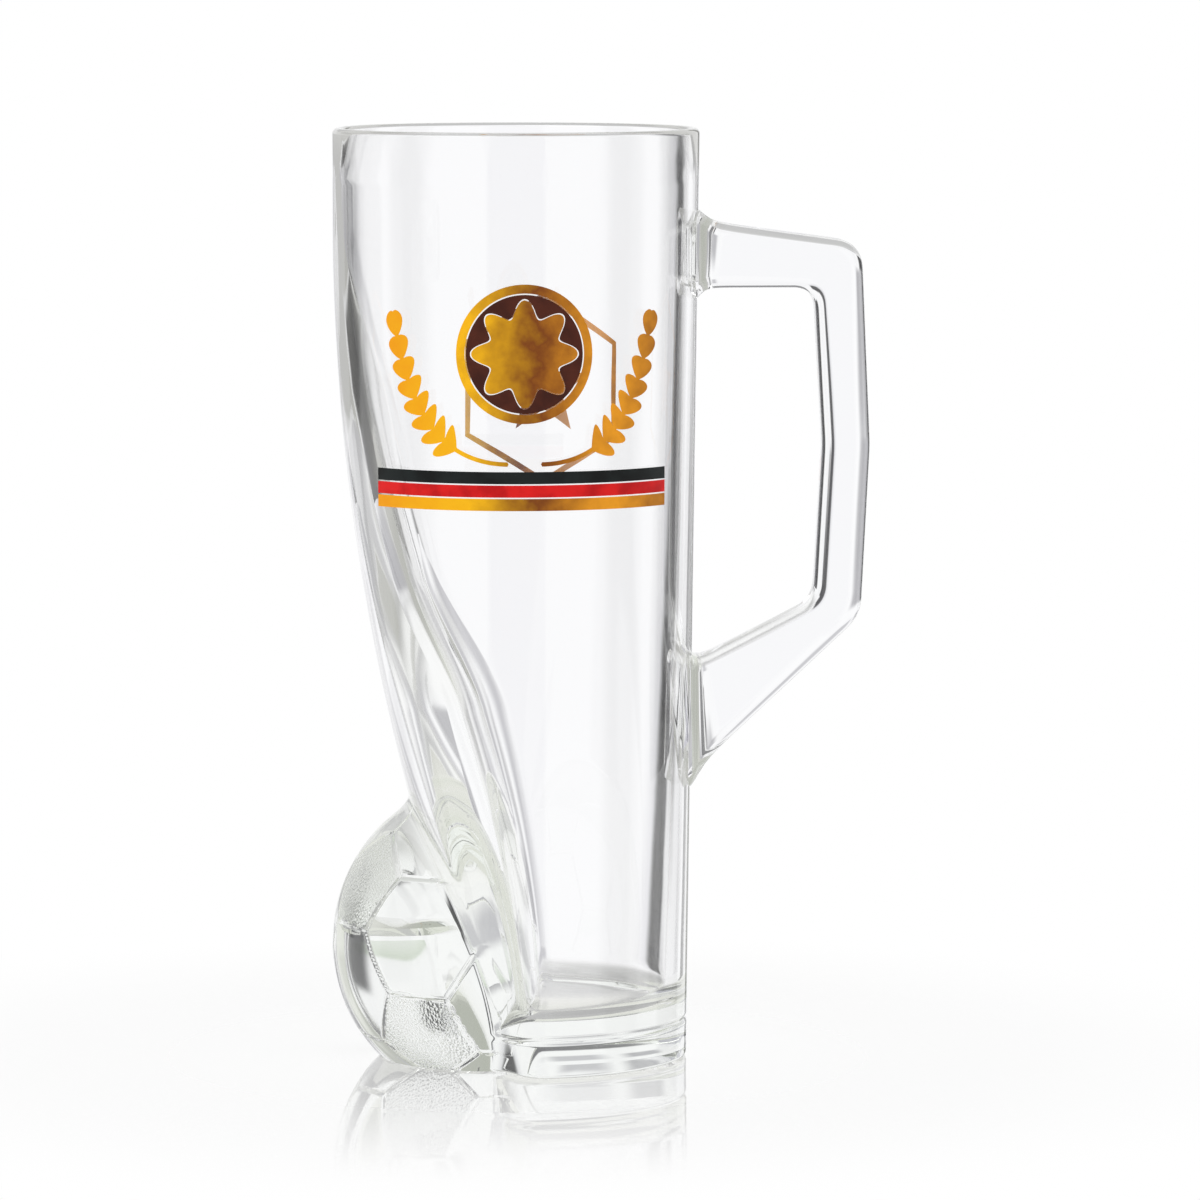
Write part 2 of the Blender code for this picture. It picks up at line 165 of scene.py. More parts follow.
class Nodes:
    """Builds one node tree; a node's inputs are set by name or joined to another node's output."""

    def __init__(self, owner):
        owner.use_nodes = True
        self.tree = owner.node_tree
        self.tree.nodes.clear()

    def add(self, kind, inputs=None, **settings):
        node = self.tree.nodes.new(kind)
        for key, value in settings.items():
            setattr(node, key, value)
        for key, value in (inputs or {}).items():
            socket = node.inputs[key]
            if isinstance(value, bpy.types.NodeSocket):
                self.tree.links.new(value, socket)
            else:
                socket.default_value = value
        return node

    def math(self, operation, a, b=0.0):
        return self.add("ShaderNodeMath", {0: a, 1: b}, operation=operation).outputs[0]

    def ramp(self, value, low, high, to_low=0.0, to_high=1.0, kind="SMOOTHSTEP"):
        inputs = {"Value": value, "From Min": low, "From Max": high, "To Min": to_low, "To Max": to_high}
        return self.add("ShaderNodeMapRange", inputs, interpolation_type=kind).outputs["Result"]

    def noise(self, place, scale, detail):
        inputs = {"Vector": place, "Scale": scale, "Detail": detail}
        return self.add("ShaderNodeTexNoise", inputs).outputs["Fac"]

    def mix_colour(self, factor, a, b):
        inputs = {MIX_FACTOR: factor, MIX_COLOUR_A: a, MIX_COLOUR_B: b}
        return self.add("ShaderNodeMix", inputs, data_type="RGBA").outputs[MIX_COLOUR_RESULT]

    def mix_shader(self, factor, a, b):
        return self.add("ShaderNodeMixShader", {0: factor, 1: a, 2: b}).outputs[0]


# Glass body
def wall_radius(z):
    return FOOT_RADIUS + WALL_TAPER * z / MUG_HEIGHT


def inner_radius(z):
    depth = (MUG_HEIGHT - z) / MUG_HEIGHT
    return wall_radius(z) - RIM_WALL - (FOOT_WALL - RIM_WALL) * depth * depth


def front_x(z):
    drop = max(0.0, MUG_HEIGHT - FRONT_DROP - z)
    bend_drop = FRONT_SLOPE * FRONT_BEND_RADIUS
    curved = min(drop, bend_drop)
    straight = max(0.0, drop - bend_drop)
    return -RIM_RADIUS + curved * curved / (2.0 * FRONT_BEND_RADIUS) + FRONT_SLOPE * straight


def front_edge_x(z):
    depth = max(0.0, BULGE_HEIGHT - z) / BULGE_HEIGHT
    return front_x(z) + FRONT_CROWN + FRONT_BULGE * depth ** BULGE_POWER


def cavity_edge_x(z):
    travel = CAVITY_EDGE_TRAVEL * smooth_step((MUG_HEIGHT - z) / (MUG_HEIGHT - FLOOR_THICKNESS))
    step = SHOULDER_STEP * smooth_step(0.5 + (SHOULDER_HEIGHT - z) / SHOULDER_RUN)
    return travel + step - CAVITY_EDGE_RIM


def cavity_front_x(z):
    """Middle of the cavity's front: it follows the slanted front, with a wall that thickens downwards."""
    share = ((MUG_HEIGHT - z) / MUG_HEIGHT) ** FRONT_WALL_POWER
    return front_x(z) + FRONT_WALL_RIM + (FRONT_WALL_FOOT - FRONT_WALL_RIM) * share


def ring(radius, front, edge, corner):
    """Level outline as x and y: round wall, two rounded corners, bulged front.

    Points on the front are evenly spaced by bearing from the axis where the axis is inside the
    outline, so that they also suit the football, and evenly spaced across it elsewhere.
    """
    edge = max(edge, -radius * math.cos(MIN_EDGE_ANGLE))
    half = math.sqrt(radius * radius - edge * edge)
    bulge = max(0.0, edge - front)
    size = min(corner, CORNER_SHARE * half)
    start = math.atan2(half, edge) - size / radius
    arc = np.linspace(-start, start, ARC_POINTS)
    side = half - size
    lead_x = edge - bulge * (1.0 - (side / half) ** 2)
    t = np.linspace(0.0, 1.0, CORNER_POINTS + 2)[1:-1]
    a, b, c = (1 - t) ** 2, 2 * t * (1 - t), t * t
    bend_x = a * radius * math.cos(start) + b * edge + c * lead_x
    bend_y = a * radius * math.sin(start) + b * half + c * side
    across = np.linspace(side, -side, FRONT_POINTS)
    if front < 0.0:
        lead = math.atan2(side, lead_x)
        sweep = np.linspace(lead, 2.0 * math.pi - lead, FRONT_POINTS)
        slant = np.cos(sweep)
        root = np.sqrt(slant ** 2 - 4.0 * bulge * (np.sin(sweep) / half) ** 2 * (edge - bulge))
        across = -2.0 * (edge - bulge) / (root - slant) * np.sin(sweep)
    front_line = edge - bulge * (1.0 - (across / half) ** 2)
    x = np.concatenate((radius * np.cos(arc), bend_x, front_line, bend_x[::-1]))
    y = np.concatenate((radius * np.sin(arc), bend_y, across, -bend_y[::-1]))
    return x, y


def football_planes():
    """Face normals over face distances of the classic football pattern, and which are pentagons."""
    golden = (1.0 + math.sqrt(5.0)) / 2.0
    signs = [(a, b) for a in (-1.0, 1.0) for b in (-1.0, 1.0)]
    pentagons = [(0.0, a, b * golden) for a, b in signs]
    hexagons = [(0.0, a * golden, b / golden) for a, b in signs]
    rows = [np.roll(p, k) for p in pentagons for k in range(3)]
    rows += [np.roll(p, k) for p in hexagons for k in range(3)]
    rows += [np.array((a, b, c)) for a, b in signs for c in (-1.0, 1.0)]
    normals = np.array([row / np.linalg.norm(row) for row in rows])
    corner = np.array((golden, 2.0, 2.0 * golden + 1.0))
    corners = np.array([np.roll(corner, k) for k in range(3)])
    distances = np.array([max(np.abs(corners) @ np.abs(n)) for n in normals]) / np.linalg.norm(corner)
    five = np.arange(len(rows)) < 3 * len(pentagons)
    distances[five] = distances[0]
    return normals / distances[:, None], five


PLANES, IS_PENTAGON = football_planes()


def seam_distance(directions):
    """Distance on the ball to the nearest seam, and whether the panel is a pentagon."""
    turned = directions @ np.array(BALL_TURN.to_matrix())
    reach = turned @ PLANES.T
    order = np.argsort(-reach, axis=1)
    first, second = order[:, 0], order[:, 1]
    rows = np.arange(len(turned))
    split = np.linalg.norm(PLANES[first] - PLANES[second], axis=1)
    return BALL_RADIUS * (reach[rows, first] - reach[rows, second]) / split, IS_PENTAGON[first]


def ball_ring(z, angles):
    """Football outline at height z as polar radii, with its seams, and where it is a pentagon."""
    level = BALL_RADIUS ** 2 - (z - BALL_Z) ** 2
    none = np.zeros_like(angles)
    if level <= BALL_X ** 2:
        return none, none > 0.0
    reach = BALL_X * np.cos(angles) + np.sqrt(level - (BALL_X * np.sin(angles)) ** 2)
    points = np.stack((reach * np.cos(angles) - BALL_X, reach * np.sin(angles), none + z - BALL_Z), axis=1)
    away, five = seam_distance(points / BALL_RADIUS)
    groove = SEAM_DEPTH * (1.0 - smooth_step(away / SEAM_HALF))
    return reach - groove, five & (away > SEAM_HALF)


def outer_ring(z, grow=0.0):
    """Outside of the glass at height z: the slanted vessel, the football and the web between them."""
    x, y = ring(wall_radius(z) + grow, front_x(z) - grow, front_edge_x(z) - grow, CORNER_SIZE)
    angles, body = np.arctan2(y, x), np.hypot(x, y)
    ball, five = ball_ring(z, angles)
    overlap = np.clip(1.0 - np.abs(body - ball) / WEB, 0.0, 1.0)
    blended = np.maximum(body, ball) + 0.25 * WEB * overlap ** 2
    limit = np.maximum(np.maximum(body, ball), wall_radius(z) + grow)
    radii = np.minimum(blended, limit)
    stippled = five & (ball > body + STIPPLE_CLEARANCE)
    return level_points(z, radii * np.cos(angles), radii * np.sin(angles)), stippled


def inner_ring(z, shrink=0.0):
    front = max(cavity_front_x(z), -inner_radius(z)) + FRONT_FILLET_SHARE * shrink
    return level_points(z, *ring(inner_radius(z) - shrink, front, cavity_edge_x(z), CAVITY_CORNER))


def level_points(z, x, y):
    return np.stack((x, y, np.full_like(x, z)), axis=1)


def foot_inset(z):
    """How far the foot's rounded edge and the groove above it draw the wall in."""
    edge = max(0.0, FOOT_ROUND - z)
    rounding = FOOT_ROUND - math.sqrt(FOOT_ROUND ** 2 - edge ** 2)
    return rounding + GROOVE_DEPTH * (1.0 - smooth_step(abs(z - GROOVE_LEVEL) / GROOVE_HALF))


def levels(low, high, step):
    count = max(2, int(round((high - low) / step)) + 1)
    return np.linspace(low, high, count)


def vessel_mesh():
    """Rings from the middle of the underside up the outside, over the rim and down to the cavity floor."""
    rings = []
    stippled = []

    def add(points, five=None):
        rings.append(points)
        stippled.append(np.zeros(len(points), bool) if five is None else five)

    ball_top = BALL_Z + BALL_RADIUS
    fine = levels(0.0, ball_top, FINE_STEP)
    body_top = MUG_HEIGHT - 0.5 * FRONT_DROP
    for z in np.concatenate((fine, levels(ball_top, body_top, COARSE_STEP)[1:])):
        add(*outer_ring(z, -foot_inset(z)))
    lip = 0.5 * RIM_WALL
    middle = RIM_RADIUS - lip
    for angle in np.linspace(0.0, math.pi, LIP_POINTS):
        radius = middle + lip * math.cos(angle)
        level = MUG_HEIGHT - lip + lip * math.sin(angle)
        add(level_points(level, *ring(radius, -radius, -radius, CORNER_SIZE)))
    cavity_foot = FLOOR_THICKNESS + FLOOR_FILLET
    for z in levels(cavity_foot, body_top, 0.5 * COARSE_STEP)[::-1]:
        add(inner_ring(z))
    for angle in np.linspace(0.0, 0.5 * math.pi, FILLET_POINTS)[1:]:
        level = cavity_foot - FLOOR_FILLET * math.sin(angle)
        add(inner_ring(level, FLOOR_FILLET * (1.0 - math.cos(angle))))
    count = len(rings[0])
    verts = np.concatenate(rings + [rings[0].mean(0)[None], rings[-1].mean(0)[None]])
    faces = []
    panel = []
    for k in range(len(rings) - 1):
        low, high = k * count, (k + 1) * count
        for i in range(count):
            j = (i + 1) % count
            faces.append((low + i, low + j, high + j, high + i))
            panel.append(stippled[k][i] and stippled[k + 1][j])
    under, floor = len(rings) * count, len(rings) * count + 1
    top = (len(rings) - 1) * count
    for i in range(count):
        j = (i + 1) % count
        faces.append((j, i, under))
        faces.append((top + i, top + j, floor))
        panel.extend((False, False))
    return verts, faces, panel


# Handle
def rounded_path(corners):
    """Open path through corners (x, z, radius): the same count of points on each run and each bend."""
    spots = [np.array(c[:2]) for c in corners]
    runs = [spots[0]]
    bends = []
    for i in range(1, len(corners) - 1):
        to_last, to_next = spots[i - 1] - spots[i], spots[i + 1] - spots[i]
        last_length, next_length = np.linalg.norm(to_last), np.linalg.norm(to_next)
        opening = math.acos(to_last @ to_next / (last_length * next_length))
        longest = BEND_SHARE * min(last_length, next_length)
        reach = min(corners[i][2] / math.tan(0.5 * opening), longest)
        first = spots[i] + to_last / last_length * reach
        last = spots[i] + to_next / next_length * reach
        t = np.linspace(0.0, 1.0, BEND_POINTS)[:, None]
        bends.append(first * (1 - t) ** 2 + spots[i] * 2 * t * (1 - t) + last * t * t)
        runs.extend((first, last))
    runs.append(spots[-1])
    t = np.linspace(0.0, 1.0, RUN_POINTS)[:, None]
    path = []
    for k in range(len(bends) + 1):
        path.append(runs[2 * k] + (runs[2 * k + 1] - runs[2 * k]) * t)
        if k < len(bends):
            path.append(bends[k][1:-1])
    return np.concatenate(path)


def rounded_section(height, width, corner):
    """Closed outline of a bar across its run, as offsets across the bar and sideways."""
    turn = np.linspace(0.0, 0.5 * math.pi, SECTION_CORNER_POINTS)
    corner_x = 0.5 * height - corner + corner * np.cos(turn)
    corner_y = 0.5 * width - corner + corner * np.sin(turn)
    across = np.concatenate((corner_x, -corner_x[::-1], -corner_x, corner_x[::-1]))
    sideways = np.concatenate((corner_y, corner_y[::-1], -corner_y, -corner_y[::-1]))
    return across, sideways


def handle_mesh():
    outside = HANDLE_END
    inside = outside - HANDLE_BAR
    middle = 0.5 * (OPENING_TOP + OPENING_FOOT)
    elbow = OPENING_FOOT - LOWER_ELBOW
    upper = wall_radius(OPENING_TOP) - ROOT_SINK
    lower = wall_radius(0.5 * elbow) - ROOT_SINK
    low_inside = OPENING_FOOT - LOWER_RISE_INSIDE * (inside - BAR_BOW - lower)
    low_outside = elbow - LOWER_RISE_OUTSIDE * (outside - BAR_BOW - lower)
    outer = rounded_path([
        (upper, HANDLE_TOP, 0.0),
        (outside - BAR_BOW, HANDLE_TOP - UPPER_FALL, TOP_CORNER),
        (outside, middle, BAR_CURVE),
        (outside - BAR_BOW, elbow, ELBOW_CORNER),
        (lower, low_outside, 0.0),
    ])
    inner = rounded_path([
        (upper, OPENING_TOP, 0.0),
        (inside - BAR_BOW, OPENING_TOP, OPENING_TOP_CORNER),
        (inside, middle, BAR_CURVE),
        (inside - BAR_BOW, OPENING_FOOT, OPENING_LOW_CORNER),
        (lower, low_inside, 0.0),
    ])
    rings = []
    for far, near in zip(outer, inner):
        centre = 0.5 * (far + near)
        height = np.linalg.norm(far - near)
        out = (far - near) / height
        flare = math.exp(-max(0.0, centre[0] - wall_radius(centre[1])) / ROOT_FLARE_LENGTH)
        grown = 2.0 * ROOT_FLARE * flare
        across, sideways = rounded_section(height + grown, HANDLE_WIDTH + grown, HANDLE_ROUND)
        flat = centre + across[:, None] * out
        rings.append(np.stack((flat[:, 0], sideways, flat[:, 1]), axis=1))
    count = len(rings[0])
    verts = np.concatenate(rings)
    faces = [tuple(range(count))]
    for k in range(len(rings) - 1):
        low, high = k * count, (k + 1) * count
        for i in range(count):
            j = (i + 1) % count
            faces.append((low + i, high + i, high + j, low + j))
    top = (len(rings) - 1) * count
    faces.append(tuple(reversed(range(top, top + count))))
    return verts, faces


# Glass material
GLASS_INDEX = 1.52
GLASS_TINT = (0.86, 0.90, 0.83, 1.0)
GLASS_TINT_DENSITY = 5.5
RIPPLE_SCALE = 60.0
RIPPLE_DETAIL = 2.0
RIPPLE_STRENGTH = 0.04
RIPPLE_DEPTH = 0.0004
STIPPLE_SCALE = 1500.0
STIPPLE_STRENGTH = 0.7
STIPPLE_DEPTH = 0.0003
STIPPLE_ROUGHNESS = 0.12

# Painted glow: past this many bounces the glass gives off a pale painted light in place of trapped light,
# brighter in the football than in the wall above
DEEP_BOUNCE = 5.0
PAINTED_GLOW_COLOUR = (0.97, 0.965, 0.93, 1.0)
PAINTED_GLOW_BALL_LEVEL = 0.050
PAINTED_GLOW_WALL_LEVEL = 0.075
PAINTED_GLOW_BALL = 0.85
PAINTED_GLOW_WALL = 0.56
GLASS_BOUNCES = 24

# Print: gold lustre with painted highlights and shadows from the left end to the right one, and enamels as
# a colour and a darker shade
PRINT_GLOSS = 0.15
PRINT_ROUGHNESS = 0.3
GOLD_METALLIC = 0.35
GOLD_BLOTCH_SCALE = 220.0
GOLD_BLOTCH_DETAIL = 4.0
GOLD_DRIFT = 0.016
# Gold along the print: amber is the lustre's own colour, the yellow stop is a painted highlight and the
# brown stops are painted shadows
GOLD_SHEEN_AND_SHADE_STOPS = [
    (-0.038, (0.90, 0.30, 0.005)),
    (-0.014, (1.00, 0.52, 0.01)),
    (0.003, (0.22, 0.06, 0.01)),
    (0.020, (0.90, 0.36, 0.02)),
    (0.038, (0.14, 0.03, 0.01)),
]
MOTTLE_SCALE = 160.0
MOTTLE_DETAIL = 3.0
MOTTLE_RANGE = (0.35, 0.65)
BROWN = ((0.085, 0.018, 0.008), (0.05, 0.010, 0.005))
BLACK = ((0.010, 0.014, 0.014), (0.004, 0.005, 0.005))
RED = ((0.80, 0.012, 0.012), (0.55, 0.004, 0.006))

# White studio with cards that only the glass sees
WHITE = (1.0, 1.0, 1.0, 1.0)
STUDIO_WHITE = (0.985, 0.985, 1.0, 1.0)
STUDIO_FILL = (0.8, 0.8, 0.8, 1.0)
BEHIND_BEARING = math.radians(87.4)
CAMERA_SIDE = 19.0
CAMERA_SIDE_COLOUR = (0.55, 0.54, 0.62, 1.0)
CARD_EDGE = 0.03
CARD_COLOUR = (0.99, 0.985, 1.03)
BLACK_CARD = 0.06
# Each card: left and right edge in degrees right of straight behind, lowest and highest upward part of the
# direction, softness of the upright edges in degrees, brightness
CARDS = [
    # Tall screens beside the mug
    (-118.0, -92.0, -0.70, 0.90, 4.0, 0.22),
    (92.0, 118.0, -0.70, 0.90, 4.0, 0.22),
    # Grey screens behind, on the left
    (-50.0, -32.0, 0.16, 0.33, 4.0, 0.50),
    (-24.0, -8.0, 0.18, 0.38, 4.0, 0.60),
    (-39.0, -11.0, -0.10, 0.00, 3.0, 0.50),
    # Low black flags on the left
    (-60.0, -39.0, -0.50, 0.00, 3.0, 0.05),
    (-60.0, -26.0, -0.50, -0.10, 3.0, 0.05),
    # Black flag right of the middle, wider at its foot and top, with a pale edge
    (10.0, 13.0, -0.50, 0.30, 2.5, 0.75),
    (12.5, 18.5, -0.50, 0.30, 1.5, BLACK_CARD),
    (12.5, 23.0, -0.50, -0.09, 1.5, BLACK_CARD),
    (12.5, 20.0, 0.12, 0.30, 1.5, BLACK_CARD),
    # Black flag on the right, narrower above
    (41.0, 70.0, -0.50, 0.17, 3.0, BLACK_CARD),
    (53.0, 70.0, 0.17, 0.34, 3.0, BLACK_CARD),
    # Dark ceiling all round
    (-200.0, 200.0, 0.60, 1.10, 4.0, 0.20),
]

# Floor, with the reach and the greatest share of the shadow and of the mirror image round the mug
FLOOR_RADIUS = 0.5
FLOOR_POINTS = 96
FLOOR_LEVEL = -0.0003
FLOOR_MATT = (0.85, 0.85, 0.85, 1.0)
FLOOR_GLOSS_ROUGHNESS = 0.02
SHADOW_NEAR = 0.05
SHADOW_FAR = 0.20
SHADOW_SHARE = 0.35
IMAGE_NEAR = 0.035
IMAGE_FAR = 0.17
IMAGE_SHARE = 0.6
# The mirror image needs a slanting view: facing values of Layer Weight where it starts and is full
IMAGE_START = 0.3
IMAGE_FULL = 0.7
# Floor as the glass sees it: a painted shadow under the handle and painted shade far behind, and a mirror
# at grazing angles
PAINTED_SHADOW_SPOT = (0.05, -0.01, 0.0)
PAINTED_SHADOW_NEAR = 0.03
PAINTED_SHADOW_FAR = 0.13
PAINTED_SHADOW_NEAR_LEVEL = 0.45
PAINTED_SHADOW_FAR_LEVEL = 0.97
BACK_START = 0.13
BACK_END = 0.19
BACK_SHADE = 0.6
GRAZING_START = 0.56
GRAZING_FULL = 0.72

# Softbox
LAMP_SIZE = 0.7
LAMP_POWER = 3.0
LAMP_PLACE = Vector((-0.45, -0.35, 1.0))
LAMP_AIM = Vector((0.0, 0.0, 0.08))


def glass_material(name, roughness=0.0, stipple=False):
    """Clear glass with a faint ripple, a fine stipple on the outside where asked, and a painted glow on
    deep bounces.
    """
    material = bpy.data.materials.new(name)
    nodes = Nodes(material)
    shader = nodes.add("ShaderNodeBsdfPrincipled")
    shader.inputs["Base Color"].default_value = WHITE
    shader.inputs["Roughness"].default_value = roughness
    shader.inputs["IOR"].default_value = GLASS_INDEX
    shader.inputs["Transmission Weight"].default_value = 1.0
    place = nodes.add("ShaderNodeTexCoord").outputs["Object"]
    ripple = nodes.noise(place, RIPPLE_SCALE, RIPPLE_DETAIL)
    bump = nodes.add("ShaderNodeBump", {"Height": ripple, "Strength": RIPPLE_STRENGTH,
                                        "Distance": RIPPLE_DEPTH})
    if stipple:
        cells = nodes.add("ShaderNodeTexVoronoi", {"Vector": place, "Scale": STIPPLE_SCALE})
        grain = cells.outputs["Distance"]
        inside = nodes.add("ShaderNodeNewGeometry").outputs["Backfacing"]
        relief = nodes.ramp(inside, 0.0, 1.0, STIPPLE_STRENGTH, 0.0, kind="LINEAR")
        bump = nodes.add("ShaderNodeBump", {"Height": grain, "Strength": relief, "Distance": STIPPLE_DEPTH,
                                            "Normal": bump.outputs[0]})
    nodes.tree.links.new(bump.outputs[0], shader.inputs["Normal"])
    clear = nodes.add("ShaderNodeBsdfTransparent").outputs[0]
    path = nodes.add("ShaderNodeLightPath").outputs
    # Painted glow: rays past DEEP_BOUNCE bounces meet a pale emission, stronger low in the football than in
    # the wall above
    height = nodes.add("ShaderNodeSeparateXYZ", {0: place}).outputs[2]
    level = nodes.ramp(height, PAINTED_GLOW_BALL_LEVEL, PAINTED_GLOW_WALL_LEVEL, PAINTED_GLOW_BALL, PAINTED_GLOW_WALL)
    painted_glow = nodes.add("ShaderNodeEmission", {"Color": PAINTED_GLOW_COLOUR, "Strength": level}).outputs[0]
    deep = nodes.math("GREATER_THAN", path["Ray Depth"], DEEP_BOUNCE)
    surface = nodes.mix_shader(deep, shader.outputs[0], painted_glow)
    surface = nodes.mix_shader(path["Is Shadow Ray"], surface, clear)
    tint = nodes.add("ShaderNodeVolumeAbsorption", {"Color": GLASS_TINT, "Density": GLASS_TINT_DENSITY})
    nodes.add("ShaderNodeOutputMaterial", {"Surface": surface, "Volume": tint.outputs[0]})
    return material


def gold_material():
    """Gold lustre: amber, with a painted yellow highlight and painted brown shadows along the print, and a
    fine mottle.
    """
    material = bpy.data.materials.new("gold print")
    nodes = Nodes(material)
    place = nodes.add("ShaderNodeTexCoord").outputs["Object"]
    blotch = nodes.noise(place, GOLD_BLOTCH_SCALE, GOLD_BLOTCH_DETAIL)
    across = nodes.add("ShaderNodeSeparateXYZ", {0: place}).outputs[0]
    drift = nodes.math("MULTIPLY", nodes.math("SUBTRACT", blotch, 0.5), GOLD_DRIFT)
    # Painted highlight and shadows: the colour follows the stops along the print's x
    tone = stops_colour(nodes, nodes.math("ADD", across, drift), GOLD_SHEEN_AND_SHADE_STOPS)
    shader = nodes.add("ShaderNodeBsdfPrincipled", {"Base Color": tone, "Roughness": PRINT_ROUGHNESS})
    shader.inputs["Metallic"].default_value = GOLD_METALLIC
    shader.inputs["Specular IOR Level"].default_value = PRINT_GLOSS
    nodes.add("ShaderNodeOutputMaterial", {"Surface": shader.outputs[0]})
    return material


def enamel_material(name, colour, shade):
    """Enamel print, faintly mottled between a colour and a darker shade of it."""
    material = bpy.data.materials.new(name)
    nodes = Nodes(material)
    place = nodes.add("ShaderNodeTexCoord").outputs["Object"]
    mottle = nodes.noise(place, MOTTLE_SCALE, MOTTLE_DETAIL)
    tone = nodes.mix_colour(nodes.ramp(mottle, *MOTTLE_RANGE), (*colour, 1.0), (*shade, 1.0))
    shader = nodes.add("ShaderNodeBsdfPrincipled", {"Base Color": tone, "Roughness": PRINT_ROUGHNESS})
    shader.inputs["Specular IOR Level"].default_value = PRINT_GLOSS
    nodes.add("ShaderNodeOutputMaterial", {"Surface": shader.outputs[0]})
    return material


def stops_colour(nodes, value, stops):
    """Colour by a value, from (value, colour) stops."""
    first, last = stops[0][0], stops[-1][0]
    node = nodes.add("ShaderNodeValToRGB", {0: nodes.ramp(value, first, last, kind="LINEAR")})
    ramp = node.color_ramp
    while len(ramp.elements) < len(stops):
        ramp.elements.new(1.0)
    for element, (spot, colour) in zip(ramp.elements, stops):
        element.position = (spot - first) / (last - first)
        element.color = (*colour, 1.0)
    return node.outputs[0]


def studio_wall(nodes, direction):
    """Colour of the studio in a direction: white, with a few cards and the darker side of the camera."""
    parts = nodes.add("ShaderNodeSeparateXYZ", {0: direction}).outputs
    bearing = nodes.math("ARCTAN2", parts[1], parts[0])
    turn = nodes.math("MULTIPLY", nodes.math("SUBTRACT", BEHIND_BEARING, bearing), math.degrees(1.0))
    aside = nodes.add("ShaderNodeMath", {0: turn, 1: 180.0, 2: -180.0}, operation="WRAP").outputs[0]
    wall = STUDIO_WHITE
    for left, right, low, high, soft, tone in CARDS:
        inside = nodes.ramp(aside, left - soft, left + soft)
        for value, start, end in ((aside, right + soft, right - soft),
                                  (parts[2], low - CARD_EDGE, low + CARD_EDGE),
                                  (parts[2], high + CARD_EDGE, high - CARD_EDGE)):
            inside = nodes.math("MULTIPLY", inside, nodes.ramp(value, start, end))
        wall = nodes.mix_colour(inside, wall, (*(tone * c for c in CARD_COLOUR), 1.0))
    behind_camera = nodes.math("GREATER_THAN", nodes.math("ABSOLUTE", aside), 180.0 - CAMERA_SIDE)
    return nodes.mix_colour(behind_camera, wall, CAMERA_SIDE_COLOUR)


def through_glass(nodes):
    """Whether a ray comes through glass or off a sharp mirror, and whether it is the camera's own."""
    path = nodes.add("ShaderNodeLightPath").outputs
    seen = nodes.math("ADD", path["Is Singular Ray"], path["Is Transmission Ray"])
    return nodes.math("MINIMUM", seen, 1.0), path["Is Camera Ray"]


def build_world():
    """White for the camera and for gloss, cards for the glass, and an even fill for matt surfaces."""
    world = bpy.data.worlds.new("studio")
    bpy.context.scene.world = world
    nodes = Nodes(world)
    direction = nodes.add("ShaderNodeTexCoord").outputs["Generated"]
    cards = studio_wall(nodes, direction)
    glass_ray, camera_ray = through_glass(nodes)
    glossy_ray = nodes.add("ShaderNodeLightPath").outputs["Is Glossy Ray"]
    plain = nodes.math("MAXIMUM", camera_ray, glossy_ray)
    soft = nodes.mix_colour(plain, STUDIO_FILL, WHITE)
    colour = nodes.mix_colour(glass_ray, soft, cards)
    background = nodes.add("ShaderNodeBackground", {"Color": colour, "Strength": 1.0})
    nodes.add("ShaderNodeOutputWorld", {"Surface": background.outputs[0]})


def seen_floor(nodes, place, grazing):
    """Floor as the glass sees it: plain light with a painted shadow under the handle and painted shade far
    behind, and a mirror at grazing angles.
    """
    sharp = nodes.add("ShaderNodeBsdfGlossy", {"Color": WHITE, "Roughness": 0.0}).outputs[0]
    # Painted shadow and shade: the floor's emission for the glass is lowered near a spot under the handle
    # and far behind
    away = nodes.add("ShaderNodeVectorMath", {0: place, 1: PAINTED_SHADOW_SPOT}, operation="DISTANCE").outputs["Value"]
    near = nodes.ramp(away, PAINTED_SHADOW_NEAR, PAINTED_SHADOW_FAR, PAINTED_SHADOW_NEAR_LEVEL, PAINTED_SHADOW_FAR_LEVEL)
    depth = nodes.add("ShaderNodeSeparateXYZ", {0: place}).outputs[1]
    painted_shade_behind = nodes.ramp(depth, BACK_START, BACK_END, 1.0, BACK_SHADE)
    level = nodes.math("MULTIPLY", near, painted_shade_behind)
    painted_shade_light = nodes.add("ShaderNodeEmission", {"Color": WHITE, "Strength": level}).outputs[0]
    return nodes.mix_shader(nodes.ramp(grazing, GRAZING_START, GRAZING_FULL), painted_shade_light, sharp)


